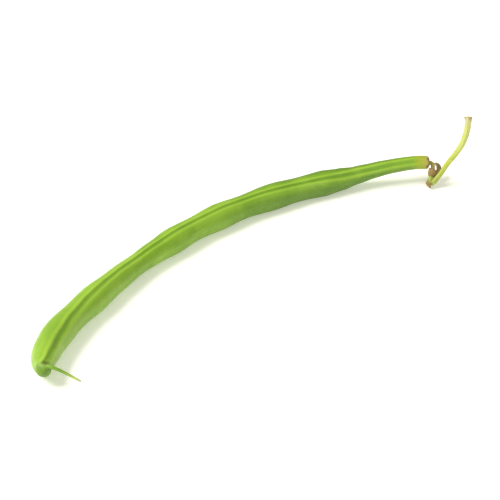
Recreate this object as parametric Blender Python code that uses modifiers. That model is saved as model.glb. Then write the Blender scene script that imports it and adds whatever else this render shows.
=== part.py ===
"""Green bean: one pod with its beak, the dried calyx and bracteoles, and the pedicel.

The bean lies on its side on the floor.  +X runs from the beak end to the stem
end, the hollow side of its bend faces -Y, and the origin is the middle of the
bounding box at floor level.
"""
import math

import bpy
import bmesh
from mathutils import Matrix, Vector

MM = 0.001

# Pod centreline, beak end to stem end (mm).
CENTRELINE = (
    (-82.6, -15.6, 3.55), (-80.0, -12.2, 3.75), (-75.8, -8.2, 3.85),
    (-66.0, -2.6, 3.9), (-48.0, 3.6, 3.75), (-25.0, 9.2, 3.65),
    (0.0, 11.3, 3.7), (24.0, 8.5, 3.7), (46.5, 1.6, 3.75),
    (58.0, -4.6, 5.7), (65.8, -9.6, 6.4), (68.9, -12.0, 6.15),
)
# Pod radius at each distance from the start of the centreline (mm): the seeds swell it.
POD_RADIUS = (
    (0.0, 3.8), (8.0, 3.9), (19.0, 4.1), (28.0, 3.82), (37.0, 3.97), (47.0, 3.5),
    (58.0, 3.1), (66.0, 3.4), (74.0, 3.85), (83.0, 3.6), (92.0, 3.92),
    (101.5, 3.6), (111.5, 3.97), (121.0, 3.68), (129.5, 3.85), (135.0, 3.45),
    (140.5, 2.8), (146.0, 2.42), (152.0, 2.2), (158.0, 2.08), (170.0, 2.05),
)
# Upward angle of the seam from the horizontal on the hollow side (mm, degrees).
SEAM_ANGLE = (
    (0.0, 72.0), (4.0, 58.0), (9.0, 50.0), (16.0, 50.0), (24.0, 58.0), (34.0, 70.0),
    (44.0, 76.0), (60.0, 76.0), (80.0, 74.0), (100.0, 71.0), (120.0, 60.0), (138.0, 50.0),
    (150.0, 44.0), (170.0, 40.0),
)
RING_STEP = 1.8

# Seam: a shallow valley with a fine string standing in it (mm).
SEAM_VALLEY = 0.26
SEAM_VALLEY_WIDTH = 0.75
STRING_HEIGHT = 0.2
STRING_WIDTH = 0.26
BACK_SEAM_SHARE = 0.55
FLANK_SWELL = 0.1

# Nose: where the pod narrows on its back towards the beak (mm).
NOSE_START = 8.0
NOSE_TAPER = 10.0
NOSE_PIT = 0.1
NOSE_DEPTH = 4.3
NOSE_WIDTH = 4.1
NOSE_LEAN = 0.75
NOSE_PIVOT_GAP = 0.12
NOSE_PIVOT_GROWTH = 3.2
NOSE_CHIN = ((0.0, 4.3), (11.0, 4.15), (22.0, 3.85), (33.0, 3.2), (44.0, 2.3), (56.0, 1.25))
NOSE_TURN = 56.0
NOSE_RINGS = 9

# Beak: a thin curved spike (mm).
BEAK_REACH = (8.4, 3.8, -2.5)
BEAK_LEAVE = 1.7
BEAK_ARRIVE = (3.0, 1.0, -1.7)
BEAK_RADIUS = ((0.0, 0.58), (0.2, 0.48), (0.6, 0.36), (0.9, 0.29), (1.0, 0.2))
BEAK_RINGS = 9

# Stem end of the pod: rounded shoulder, then the narrow stalk inside the calyx (mm).
SHOULDER_LENGTH = 1.1
STALK_RADIUS = 0.56
STALK = ((68.9, -12.0, 6.15), (69.28, -12.61, 5.93), (69.12, -13.26, 5.39),
         (68.58, -13.64, 4.77), (67.98, -13.91, 4.12), (67.43, -14.2, 3.4))

# Calyx: a small cup with five teeth (mm).
CALYX_MOUTH = (68.4, -13.94, 4.34)
CALYX_AXIS = (-0.62, -0.32, -0.72)
CALYX_PROFILE = ((0.0, 1.06), (0.4, 1.12), (0.9, 1.1), (1.35, 0.98), (1.75, 0.78),
                 (2.02, 0.45))
CALYX_WALL = 0.24
TOOTH_COUNT = 5
TOOTH_PHASE = 36.0
TOOTH_LENGTH = 0.42
TOOTH_FLARE = 0.08
CALYX_SIDES = 40

# Pedicel: the flower stalk, from under the calyx to the torn tip (mm).
PEDICEL = ((66.55, -14.76, 2.32), (66.14, -15.22, 1.74), (66.54, -15.92, 1.8), (67.59, -16.39, 2.9),
           (69.05, -16.99, 4.82), (70.38, -17.5, 6.89), (71.64, -18.17, 8.89),
           (72.73, -18.87, 10.68), (74.62, -19.8, 14.14), (75.92, -20.01, 17.8),
           (76.44, -19.92, 20.46), (76.73, -19.88, 22.64))
PEDICEL_RADIUS = (0.78, 0.86, 0.8, 0.68, 0.64, 0.67, 0.72, 0.78, 0.85, 0.86, 0.95, 1.08)

# Bracteoles: two small curled scales beside the calyx (mm, degrees).
BRACT_WIDTH = 1.45
BRACT_WALL = 0.28
BRACT_CUP = 0.32
UPPER_ROOT = (69.9, -14.52, 2.27)
UPPER_RISE = (0.76, -0.12, 0.64)
UPPER_FACE = (-0.01, 0.98, 0.2)
UPPER_LENGTH = 5.8
UPPER_CURL = 155.0
LOWER_ROOT = (65.4, -13.85, 2.44)
LOWER_RISE = (-0.51, -0.57, -0.63)
LOWER_FACE = (0.74, -0.67, 0.0)
LOWER_LENGTH = 3.4
LOWER_CURL = 75.0


def clear_scene():
    """Take away whatever the new file came with."""
    for item in list(bpy.data.objects):
        bpy.data.objects.remove(item, do_unlink=True)


def smooth_key(table, where):
    """Value at a position in a table of (position, value), eased between entries."""
    if where <= table[0][0]:
        return table[0][1]
    for (a, low), (b, high) in zip(table, table[1:]):
        if where <= b:
            t = (where - a) / (b - a)
            t = t * t * (3.0 - 2.0 * t)
            return low + (high - low) * t
    return table[-1][1]


def curve_through(points, steps):
    """Points along a smooth curve through the control points (metres)."""
    knots = [Vector(p) * MM for p in points]
    knots = [knots[0] * 2.0 - knots[1]] + knots + [knots[-1] * 2.0 - knots[-2]]
    out = []
    for i in range(1, len(knots) - 2):
        p0, p1, p2, p3 = knots[i - 1:i + 3]
        d1 = math.sqrt((p1 - p0).length)
        d2 = math.sqrt((p2 - p1).length)
        d3 = math.sqrt((p3 - p2).length)
        m1 = (p1 - p0) / d1 - (p2 - p0) / (d1 + d2) + (p2 - p1) / d2
        m2 = (p2 - p1) / d2 - (p3 - p1) / (d2 + d3) + (p3 - p2) / d3
        m1 *= d2
        m2 *= d2
        for k in range(steps):
            t = k / steps
            h1 = 2.0 * t ** 3 - 3.0 * t ** 2 + 1.0
            h2 = t ** 3 - 2.0 * t ** 2 + t
            h3 = -2.0 * t ** 3 + 3.0 * t ** 2
            h4 = t ** 3 - t ** 2
            out.append(p1 * h1 + m1 * h2 + p2 * h3 + m2 * h4)
    out.append(knots[-2])
    return out


class Path:
    """A sampled curve that can be asked for a place and a direction by distance."""

    def __init__(self, points, steps=60):
        self.points = curve_through(points, steps)
        self.at = [0.0]
        for a, b in zip(self.points, self.points[1:]):
            self.at.append(self.at[-1] + (b - a).length)
        self.length = self.at[-1]

    def place(self, distance):
        if distance <= 0.0:
            first = (self.points[1] - self.points[0]).normalized()
            return self.points[0] + first * distance
        if distance >= self.length:
            last = (self.points[-1] - self.points[-2]).normalized()
            return self.points[-1] + last * (distance - self.length)
        low, high = 0, len(self.at) - 1
        while high - low > 1:
            mid = (low + high) // 2
            if self.at[mid] <= distance:
                low = mid
            else:
                high = mid
        t = (distance - self.at[low]) / (self.at[high] - self.at[low])
        return self.points[low].lerp(self.points[high], t)

    def direction(self, distance):
        reach = 0.4 * MM
        a = min(max(distance - reach, 0.0), self.length - 2.0 * reach)
        return (self.place(a + 2.0 * reach) - self.place(a)).normalized()


def hollow_side(forward):
    """The level direction across the pod, towards the hollow side of its bend."""
    return forward.cross(Vector((0.0, 0.0, 1.0))).normalized()


def pod_frame(path, distance):
    """Centre, forward, seam and side directions of the pod at a distance."""
    forward = path.direction(distance)
    hollow = hollow_side(forward)
    up = hollow.cross(forward)
    angle = math.radians(smooth_key(SEAM_ANGLE, distance / MM))
    seam = hollow * math.cos(angle) + up * math.sin(angle)
    return path.place(distance), forward, seam, forward.cross(seam)


def pod_stations(step):
    """Every section of the pod, beak tip to stalk end.

    A station is (centre, seam direction, side direction, half depth, half
    width, share of the seam relief).
    """
    path = Path(CENTRELINE)
    stations = []

    pit, forward, seam, side = pod_frame(path, NOSE_PIT * MM)
    back = smooth_key(POD_RADIUS, NOSE_PIT) * MM
    pivot = pit + seam * (back + NOSE_PIVOT_GAP * MM)
    tailward = -forward
    hollow = hollow_side(forward)
    lean = -hollow * (NOSE_LEAN * MM)

    fan = []
    for k in range(1, NOSE_RINGS + 1):
        part = k / NOSE_RINGS
        turn = math.radians(NOSE_TURN * part)
        seam_k = seam * math.cos(turn) - tailward * math.sin(turn)
        seam_k.normalize()
        depth = smooth_key(NOSE_CHIN, NOSE_TURN * part) * MM / 2.0
        width = depth + (NOSE_WIDTH - NOSE_DEPTH) * MM / 2.0 * (1.0 - part)
        gap = NOSE_PIVOT_GAP * MM * (1.0 + NOSE_PIVOT_GROWTH * part)
        centre = pivot - seam_k * (depth + gap) + lean * (1.0 - part)
        fan.append((centre, seam_k, side, depth, width, 0.75 * (1.0 - part) ** 0.5))

    root, seam_r = fan[-1][0], fan[-1][1]
    leave = -seam_r.cross(side).normalized()
    if leave.dot(tailward) < 0.0:
        leave = -leave
    up = hollow.cross(forward)

    def local(reach):
        return hollow * (reach[0] * MM) + tailward * (reach[1] * MM) + up * (reach[2] * MM)

    tip = root + local(BEAK_REACH)
    knee_a = root + leave * BEAK_LEAVE * MM
    knee_b = tip - local(BEAK_ARRIVE)
    beak = []
    last_forward, seam_b, side_b = leave, seam_r, side
    for k in range(1, BEAK_RINGS + 1):
        t = k / BEAK_RINGS
        centre = (root * (1 - t) ** 3 + knee_a * (3 * t * (1 - t) ** 2)
                  + knee_b * (3 * t * t * (1 - t)) + tip * t ** 3)
        ahead = ((knee_a - root) * (1 - t) ** 2 + (knee_b - knee_a) * (2 * t * (1 - t))
                 + (tip - knee_b) * t * t).normalized()
        turn = last_forward.rotation_difference(ahead)
        seam_b = turn @ seam_b
        side_b = turn @ side_b
        last_forward = ahead
        radius = smooth_key(BEAK_RADIUS, t) * MM
        beak.append((centre, seam_b, side_b, radius, radius, 0.0))

    stations.extend(reversed(beak))
    stations.extend(reversed(fan))

    end = path.length - SHOULDER_LENGTH * MM
    start = NOSE_PIT * MM
    count = max(2, round((end - start) / (step * MM)))
    for k in range(count + 1):
        distance = start + (end - start) * k / count
        centre, forward, seam, side = pod_frame(path, distance)
        radius = smooth_key(POD_RADIUS, distance / MM) * MM
        depth, width = radius, radius
        if distance < NOSE_START * MM:
            t = (distance / MM - NOSE_PIT) / (NOSE_START - NOSE_PIT)
            bow = 1.0 - (1.0 - t) ** 2
            depth = (NOSE_DEPTH / 2.0) * MM * (1.0 - bow) + radius * bow
            centre = centre + seam * (radius - depth)
        if distance < NOSE_TAPER * MM:
            t = (distance / MM - NOSE_PIT) / (NOSE_TAPER - NOSE_PIT)
            bow = 1.0 - (1.0 - t) ** 1.5
            width = (NOSE_WIDTH / 2.0) * MM * (1.0 - bow) + radius * bow
            centre = centre - hollow_side(forward) * (NOSE_LEAN * MM * (1.0 - bow))
        stations.append((centre, seam, side, depth, width, 1.0))

    tube = smooth_key(POD_RADIUS, end / MM) * MM
    for k in range(1, 5):
        t = k / 4.0
        distance = end + SHOULDER_LENGTH * MM * math.sin(t * math.pi / 2.0) * 0.92
        centre, forward, seam, side = pod_frame(path, distance)
        radius = STALK_RADIUS * MM * 1.15 + (tube - STALK_RADIUS * MM * 1.15) * math.cos(
            t * math.pi / 2.0)
        stations.append((centre, seam, side, radius, radius, 1.0 - t))

    stalk = Path(STALK)
    last_forward = forward
    for k in range(1, 7):
        distance = stalk.length * k / 6.0
        ahead = stalk.direction(distance)
        turn = last_forward.rotation_difference(ahead)
        seam = turn @ seam
        side = turn @ side
        last_forward = ahead
        radius = STALK_RADIUS * MM * (1.0 + 0.15 * (1.0 - k / 6.0))
        stations.append((stalk.place(distance), seam, side, radius, radius, 0.0))
    return stations


def seam_relief(offset):
    """Height of the valley and its string at a distance from the seam line (mm)."""
    valley = -SEAM_VALLEY * math.exp(-(offset / SEAM_VALLEY_WIDTH) ** 2)
    string = STRING_HEIGHT * math.exp(-(offset / STRING_WIDTH) ** 2)
    return valley + string


def pod_point(station, angle):
    """A point of the pod's skin; the angle is measured from the seam."""
    centre, seam, side, depth, width, relief = station
    radius = (depth + width) / 2.0
    arc = radius / MM
    front = math.remainder(angle, 2.0 * math.pi) * arc
    back = math.remainder(angle - math.pi, 2.0 * math.pi) * arc
    rise = relief * (seam_relief(front) + BACK_SEAM_SHARE * seam_relief(back)) * MM
    rise += relief * FLANK_SWELL * MM * math.sin(angle) ** 2 * (arc / 4.0) ** 4
    point = centre + seam * ((depth + rise) * math.cos(angle))
    point += side * ((width + rise) * math.sin(angle))
    point.z = max(point.z, 0.0)
    return point


def pod_angles():
    """Angles round a section, closer together over the two seams."""
    near = [0.0, 4.2, 9.0, 16.0]
    flank = [16.0 + 148.0 * k / 9.0 for k in range(1, 9)]
    half = near + flank + [164.0, 171.0, 175.8]
    return [math.radians(a) for a in half + [180.0] + [360.0 - a for a in reversed(half[1:])]]


def material(name, colour, roughness):
    """A plain material holding a slot's colour."""
    made = bpy.data.materials.new(name)
    made.use_nodes = True
    shader = made.node_tree.nodes["Principled BSDF"]
    shader.inputs["Base Color"].default_value = (*colour, 1.0)
    shader.inputs["Roughness"].default_value = roughness
    made.diffuse_color = (*colour, 1.0)
    return made


def finished(name, bm, collection, skin):
    """Close up a bmesh and keep it as a named object of the bean."""
    bmesh.ops.recalc_face_normals(bm, faces=bm.faces)
    mesh = bpy.data.meshes.new(name)
    bm.to_mesh(mesh)
    bm.free()
    made = bpy.data.objects.new(name, mesh)
    collection.objects.link(made)
    mesh.materials.append(skin)
    return made


def rolled_grid(rings, sides, place, closed=True):
    """A flat grid laid on a surface; a closed one is rolled into a tube."""
    bm = bmesh.new()
    bmesh.ops.create_grid(bm, x_segments=rings - 1, y_segments=sides, size=0.5)
    for vert in bm.verts:
        ring = round((vert.co.x + 0.5) * (rings - 1))
        turn = round((vert.co.y + 0.5) * sides)
        vert.co = place(ring, turn % sides if closed else turn)
    if closed:
        bmesh.ops.remove_doubles(bm, verts=bm.verts, dist=0.000001)
    return bm


def close_ends(bm):
    """Fill the open ends of a tube."""
    rim = [edge for edge in bm.edges if edge.is_boundary]
    bmesh.ops.holes_fill(bm, edges=rim, sides=0)
    caps = [face for face in bm.faces if len(face.verts) > 4]
    bmesh.ops.poke(bm, faces=caps)


def build_pod(collection):
    """The pod and its beak, one grown piece."""
    stations = pod_stations(RING_STEP)
    angles = pod_angles()
    bm = rolled_grid(len(stations), len(angles),
                     lambda ring, turn: pod_point(stations[ring], angles[turn]))
    close_ends(bm)
    return finished("pod", bm, collection, material("pod_skin", (0.25, 0.47, 0.07), 0.38))


def build_calyx(collection):
    """A cup open towards the pod, with five short teeth at its mouth."""
    mouth = Vector(CALYX_MOUTH) * MM
    axis = Vector(CALYX_AXIS).normalized()
    across = axis.orthogonal().normalized()
    round_by = axis.cross(across)
    rows = [(-1.0, 0.0), (-0.5, 0.0)] + list(CALYX_PROFILE)

    def place(row, turn):
        angle = 2.0 * math.pi * turn / CALYX_SIDES
        along, radius = rows[row]
        if row < 2:
            wave = 0.5 + 0.5 * math.cos(TOOTH_COUNT * angle + math.radians(TOOTH_PHASE))
            share = -along * wave
            along = -TOOTH_LENGTH * share
            radius = CALYX_PROFILE[0][1] + TOOTH_FLARE * share
        out = across * math.cos(angle) + round_by * math.sin(angle)
        return mouth + axis * (along * MM) + out * (radius * MM)

    bm = rolled_grid(len(rows), CALYX_SIDES, place)
    rim = [edge for edge in bm.edges if edge.is_boundary]
    floor = [edge for edge in rim if all(
        (vert.co - mouth).dot(axis) > 1.5 * MM for vert in edge.verts)]
    bmesh.ops.holes_fill(bm, edges=floor, sides=0)
    made = finished("calyx", bm, collection, material("calyx_skin", (0.32, 0.22, 0.07), 0.7))
    wall = made.modifiers.new("wall", 'SOLIDIFY')
    wall.thickness = CALYX_WALL * MM
    wall.offset = 1.0
    return made


def build_bracteole(name, collection, root, rise, face, length, curl):
    """A small oval scale, cupped across and curled along its length."""
    start = Vector(root) * MM
    up = Vector(rise).normalized()
    out = Vector(face)
    out = (out - up * out.dot(up)).normalized()
    wide = up.cross(out)
    rows, columns = 11, 8
    spine = [start]
    lifts = []
    for row in range(rows):
        bend = math.radians(curl) * (row / (rows - 1)) ** 1.6
        lifts.append(out * math.cos(bend) - up * math.sin(bend))
        ahead = up * math.cos(bend) + out * math.sin(bend)
        spine.append(spine[-1] + ahead * (length * MM / (rows - 1)))

    def place(row, column):
        t = row / (rows - 1)
        s = 2.0 * column / columns - 1.0
        half = BRACT_WIDTH * MM * (0.45 + 0.55 * math.sin(math.pi * (0.1 + 0.75 * t)) - 0.35 * t)
        return spine[row] + wide * (half * s) + lifts[row] * (half * BRACT_CUP * s * s)

    bm = rolled_grid(rows, columns, place, closed=False)
    made = finished(name, bm, collection, material(name + "_skin", (0.27, 0.19, 0.07), 0.75))
    wall = made.modifiers.new("wall", 'SOLIDIFY')
    wall.thickness = BRACT_WALL * MM
    wall.offset = 0.0
    return made


def build_pedicel(collection):
    """The flower stalk: a tapering bent rod that flares at its torn tip."""
    shape = bpy.data.curves.new("pedicel", 'CURVE')
    shape.dimensions = '3D'
    shape.bevel_depth = MM
    shape.bevel_resolution = 3
    shape.resolution_u = 4
    shape.use_fill_caps = True
    spline = shape.splines.new('NURBS')
    spline.points.add(len(PEDICEL) - 1)
    for point, place, radius in zip(spline.points, PEDICEL, PEDICEL_RADIUS):
        point.co = (*(Vector(place) * MM), 1.0)
        point.radius = radius
    spline.order_u = 4
    spline.use_endpoint_u = True
    made = bpy.data.objects.new("pedicel", shape)
    collection.objects.link(made)
    shape.materials.append(material("pedicel_skin", (0.55, 0.6, 0.12), 0.5))
    return made


def stand_at_origin(pieces):
    """Put the middle of the bean's bounding box over the origin, its foot at z = 0."""
    bpy.context.view_layer.update()
    graph = bpy.context.evaluated_depsgraph_get()
    low = Vector((1.0, 1.0, 1.0))
    high = -low
    for piece in pieces:
        mesh = piece.evaluated_get(graph).to_mesh()
        for vert in mesh.vertices:
            for axis in range(3):
                low[axis] = min(low[axis], vert.co[axis])
                high[axis] = max(high[axis], vert.co[axis])
        piece.evaluated_get(graph).to_mesh_clear()
    shift = Vector((-(low.x + high.x) / 2.0, -(low.y + high.y) / 2.0, -low.z))
    for piece in pieces:
        piece.data.transform(Matrix.Translation(shift))


def main():
    clear_scene()
    collection = bpy.data.collections.new("green_bean")
    bpy.context.scene.collection.children.link(collection)
    pieces = [
        build_pod(collection),
        build_calyx(collection),
        build_bracteole("bracteole_upper", collection, UPPER_ROOT, UPPER_RISE,
                        UPPER_FACE, UPPER_LENGTH, UPPER_CURL),
        build_bracteole("bracteole_lower", collection, LOWER_ROOT, LOWER_RISE,
                        LOWER_FACE, LOWER_LENGTH, LOWER_CURL),
        build_pedicel(collection),
    ]
    stand_at_origin(pieces)


main()
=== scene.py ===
import math

import bpy
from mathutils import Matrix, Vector, noise


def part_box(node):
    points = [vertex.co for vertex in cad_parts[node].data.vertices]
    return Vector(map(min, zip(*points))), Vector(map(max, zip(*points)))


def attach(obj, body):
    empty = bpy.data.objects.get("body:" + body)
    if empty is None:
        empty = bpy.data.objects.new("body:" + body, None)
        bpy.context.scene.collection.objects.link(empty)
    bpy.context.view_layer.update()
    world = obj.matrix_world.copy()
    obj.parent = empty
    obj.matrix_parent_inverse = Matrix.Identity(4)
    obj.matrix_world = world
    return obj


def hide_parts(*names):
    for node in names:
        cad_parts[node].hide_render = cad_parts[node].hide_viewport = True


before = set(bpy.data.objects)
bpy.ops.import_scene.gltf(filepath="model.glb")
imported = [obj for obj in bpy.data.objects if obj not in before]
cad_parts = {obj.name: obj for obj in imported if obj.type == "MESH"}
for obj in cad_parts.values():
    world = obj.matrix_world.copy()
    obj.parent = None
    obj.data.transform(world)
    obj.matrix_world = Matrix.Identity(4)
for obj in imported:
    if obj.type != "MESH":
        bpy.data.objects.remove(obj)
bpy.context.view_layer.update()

MM = 0.001
UP = Vector((0.0, 0.0, 1.0))
CURVE_STEPS = 60
DIRECTION_REACH = 0.4

# ---------------------------------------------------------------- design numbers
# Lengths are millimetres and angles degrees, in the design's own frame. The pod's
# centreline, radii and seam angles are the CAD's. A table pairs a place, which is a
# distance, an angle or a share of the length, with a value.
CENTRELINE = (
    (-82.6, -15.6, 3.55), (-80.0, -12.2, 3.75), (-75.8, -8.2, 3.85),
    (-66.0, -2.6, 3.9), (-48.0, 3.6, 3.75), (-25.0, 9.2, 3.65),
    (0.0, 11.3, 3.7), (24.0, 8.5, 3.7), (46.5, 1.6, 3.75),
    (58.0, -4.6, 5.7), (65.8, -9.6, 6.4), (68.9, -12.0, 6.15),
)
POD_RADIUS = (
    (0.0, 3.8), (8.0, 3.9), (19.0, 4.1), (28.0, 3.82), (37.0, 3.97), (47.0, 3.5),
    (58.0, 3.1), (66.0, 3.4), (74.0, 3.85), (83.0, 3.6), (92.0, 3.92),
    (101.5, 3.6), (111.5, 3.97), (121.0, 3.68), (129.5, 3.85), (135.0, 3.45),
    (140.5, 2.8), (146.0, 2.42), (152.0, 2.2), (158.0, 2.08), (170.0, 2.05),
)

# The seam's height round the pod, from level on the hollow side, and its breadth. The
# back seam is the same relief, weaker, read from a stretch of unevenness of its own.
# Points that carry no seam say NO_SEAM, which is beyond every seam colour.
SEAM_ANGLE = (
    (0.0, 72.0), (4.0, 58.0), (9.0, 50.0), (16.0, 50.0), (24.0, 58.0), (34.0, 70.0),
    (44.0, 76.0), (60.0, 76.0), (80.0, 74.0), (100.0, 71.0), (120.0, 60.0), (138.0, 50.0),
    (150.0, 44.0), (170.0, 40.0),
)
SEAM_BREADTH = ((0.0, 1.0), (26.0, 0.95), (52.0, 0.66), (120.0, 0.62), (140.0, 0.8),
                (600.0, 0.8))
BACK_SEAM_AT = 300.0
BACK_SEAM_SHARE = 0.55
NO_SEAM = 9.0
SEAM_STEP = 0.13
SEAM_STEPS = 16
FLANK_STEPS = 34
POD_MEAN_RADIUS = 3.9

# Where the seeds swell the flanks.
SEEDS = (17.0, 36.0, 54.0, 73.0, 92.0, 111.0, 129.0)

# The blunt nose narrows from NOSE_START and NOSE_TAPER to NOSE_PIT, then folds under
# through NOSE_TURN to the chin, which the beak leaves. SPAN says how much the number
# called along changes over a stretch, whatever its true length.
NOSE_START = 8.0
NOSE_TAPER = 10.0
NOSE_PIT = 0.1
NOSE_DEPTH = 4.3
NOSE_WIDTH = 4.1
NOSE_LEAN = 0.75
NOSE_PIVOT_GAP = 0.12
NOSE_PIVOT_GROWTH = 3.2
NOSE_CHIN = ((0.0, 4.3), (11.0, 4.15), (22.0, 3.85), (33.0, 3.2), (44.0, 2.3), (56.0, 1.25))
NOSE_TURN = 56.0
NOSE_RINGS = 34
NOSE_SPAN = 3.0
NOSE_RELIEF = 0.75
BEAK_REACH = (8.4, 3.8, -2.5)
BEAK_LEAVE = 1.7
BEAK_ARRIVE = (3.0, 1.0, -1.7)
BEAK_RADIUS = ((0.0, 0.6), (0.2, 0.51), (0.6, 0.42), (0.9, 0.34), (1.0, 0.24))
BEAK_RINGS = 60
BEAK_SPAN = 10.0
BEAK_TIP_AT = -13.1
BEAK_CAP_RINGS = 4

# The body, the shoulder that closes it at the stem end, and the pod's own thin stalk.
BODY_STEP = 0.32
SHOULDER_LENGTH = 1.1
SHOULDER_RINGS = 14
SHOULDER_SPAN = 2.0
SHOULDER_REACH = 0.92
STALK_RADIUS = 0.56
STALK_FLARE = 0.15
STALK_RINGS = 20
STALK_CAP = 0.1
STALK = ((68.9, -12.0, 6.15), (69.28, -12.61, 5.93), (69.12, -13.26, 5.39),
         (68.58, -13.64, 4.77), (67.98, -13.91, 4.12), (67.43, -14.2, 3.4))

# The calyx is a cup open towards the pod, with teeth standing up round its mouth. Its
# profile pairs a depth below the mouth with a radius.
CALYX_MOUTH = (68.4, -13.94, 4.34)
CALYX_AXIS = (-0.62, -0.32, -0.72)
CALYX_PROFILE = ((0.0, 1.1), (0.25, 1.16), (0.6, 1.18), (0.95, 1.14), (1.3, 1.04),
                 (1.6, 0.9), (1.85, 0.72), (2.0, 0.5), (2.08, 0.25), (2.1, 0.02))
CALYX_SIDES = 80
CALYX_TEETH = 5
TOOTH_ROWS = 7
TOOTH_BASE = 0.08
TOOTH_LENGTH = 0.55
TOOTH_LEAN = 0.12
TOOTH_PHASE = math.radians(36.0)
CALYX_WALL = 0.38

# The flower stalk, from inside the calyx's foot to its torn end. JOINT is the place on
# it that both bracteoles grow from.
JOINT = (66.95, -14.75, 2.6)
PEDICEL = ((67.3, -14.5, 3.1), (66.6, -14.76, 2.32), (66.14, -15.22, 1.74),
           (66.54, -15.92, 1.8), (67.59, -16.39, 2.9), (69.05, -16.99, 4.82), (70.38, -17.5, 6.89),
           (71.64, -18.17, 8.89), (72.73, -18.87, 10.68), (74.62, -19.8, 14.14),
           (75.92, -20.01, 17.8), (76.44, -19.92, 20.46), (76.73, -19.88, 22.64))
PEDICEL_RADIUS = ((0.0, 0.7), (0.9, 0.86), (1.8, 0.92), (2.8, 0.88), (4.5, 0.78),
                  (7.0, 0.75), (10.0, 0.78), (14.0, 0.86), (18.0, 0.92), (21.5, 0.96),
                  (24.0, 1.0), (26.3, 1.04), (40.0, 1.04))
PEDICEL_SIDES = 72
PEDICEL_RINGS = 170
TORN_SIDE = Vector((-0.74, 0.67, 0.0)).normalized()
TORN_LENGTH = 2.2
TORN_RADIUS = 1.04
TORN_SLANT = 0.45
TORN_TURN = 0.6  # radians
TORN_FLARE = 0.48
TORN_DROP = 0.5
TORN_DEPTH = 0.35
TORN_RINGS = 6

# Each bracteole starts at its root, heads along its rise and curls over towards its face.
UPPER_ROOT = (69.9, -14.52, 2.27)
UPPER_RISE = (0.76, -0.12, 0.64)
UPPER_FACE = (-0.01, 0.98, 0.2)
UPPER_LENGTH = 5.8
UPPER_WIDTH = 1.75
UPPER_CURL = 155.0
UPPER_SEED = 2.0
UPPER_WALL = 0.28
LOWER_ROOT = (65.4, -13.85, 2.44)
LOWER_RISE = (-0.51, -0.57, -0.63)
LOWER_FACE = (0.74, -0.67, 0.0)
LOWER_LENGTH = 3.4
LOWER_WIDTH = 1.3
LOWER_CURL = 75.0
LOWER_SEED = 8.0
LOWER_WALL = 0.22
BRACTEOLE_CUP = 0.56
BRACTEOLE_ROWS = 34
BRACTEOLE_COLUMNS = 22
THINNEST_SCALE = 0.12
CLAW_LENGTH = 0.35
CLAW_BREADTH = ((0.0, 0.5), (0.4, 1.0))


# ---------------------------------------------------------------- curves and tables
def eased(table, where):
    """Value in a table of (position, value), eased between its entries."""
    if where <= table[0][0]:
        return table[0][1]
    for (a, low), (b, high) in zip(table, table[1:]):
        if where <= b:
            t = (where - a) / (b - a)
            t = t * t * (3.0 - 2.0 * t)
            return low + (high - low) * t
    return table[-1][1]


def curve_through(points):
    """Points on a smooth curve through the control points, CURVE_STEPS to each stretch."""
    knots = [Vector(p) for p in points]
    knots = [knots[0] * 2.0 - knots[1]] + knots + [knots[-1] * 2.0 - knots[-2]]
    out = []
    for i in range(1, len(knots) - 2):
        p0, p1, p2, p3 = knots[i - 1:i + 3]
        d1 = math.sqrt((p1 - p0).length)
        d2 = math.sqrt((p2 - p1).length)
        d3 = math.sqrt((p3 - p2).length)
        m1 = ((p1 - p0) / d1 - (p2 - p0) / (d1 + d2) + (p2 - p1) / d2) * d2
        m2 = ((p2 - p1) / d2 - (p3 - p1) / (d2 + d3) + (p3 - p2) / d3) * d2
        for k in range(CURVE_STEPS):
            t = k / CURVE_STEPS
            out.append(p1 * (2 * t ** 3 - 3 * t ** 2 + 1) + m1 * (t ** 3 - 2 * t ** 2 + t)
                       + p2 * (3 * t ** 2 - 2 * t ** 3) + m2 * (t ** 3 - t ** 2))
    out.append(knots[-2])
    return out


class Path:
    """A sampled curve that can be asked for a place and a direction by distance."""

    def __init__(self, points):
        self.points = curve_through(points)
        self.at = [0.0]
        for a, b in zip(self.points, self.points[1:]):
            self.at.append(self.at[-1] + (b - a).length)
        self.length = self.at[-1]

    def place(self, distance):
        """The point at a distance, on a straight line past either end."""
        if distance <= 0.0:
            first = (self.points[1] - self.points[0]).normalized()
            return self.points[0] + first * distance
        if distance >= self.length:
            last = (self.points[-1] - self.points[-2]).normalized()
            return self.points[-1] + last * (distance - self.length)
        low, high = 0, len(self.at) - 1
        while high - low > 1:
            mid = (low + high) // 2
            if self.at[mid] <= distance:
                low = mid
            else:
                high = mid
        t = (distance - self.at[low]) / (self.at[high] - self.at[low])
        return self.points[low].lerp(self.points[high], t)

    def direction(self, distance):
        """The curve's heading at a distance, taken over a short reach to either side."""
        whole = 2.0 * DIRECTION_REACH
        a = min(max(distance - DIRECTION_REACH, 0.0), self.length - whole)
        return (self.place(a + whole) - self.place(a)).normalized()


def bell(x, width):
    """One at zero, falling off smoothly over a width."""
    return math.exp(-(x / width) ** 2)


def wobble(x, y, z, seed=0.0):
    """Smooth unevenness between -1 and 1, the same each run."""
    return noise.noise(Vector((x + seed, y - seed * 0.7, z + seed * 1.3)))


# ---------------------------------------------------------------- meshes
# Moves the design onto the CAD, once the pod's own extent is known.
shift = Vector((0.0, 0.0, 0.0))


def solid(name, verts, faces, attributes):
    """A mesh object from design millimetres, smooth, with named per-point numbers."""
    mesh = bpy.data.meshes.new(name)
    mesh.from_pydata([(v + shift) * MM for v in verts], [], faces)
    for key, values in attributes.items():
        layer = mesh.attributes.new(key, 'FLOAT', 'POINT')
        layer.data.foreach_set("value", values)
    mesh.shade_smooth()
    mesh.update()
    piece = bpy.data.objects.new(name, mesh)
    bpy.context.scene.collection.objects.link(piece)
    return piece


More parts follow.
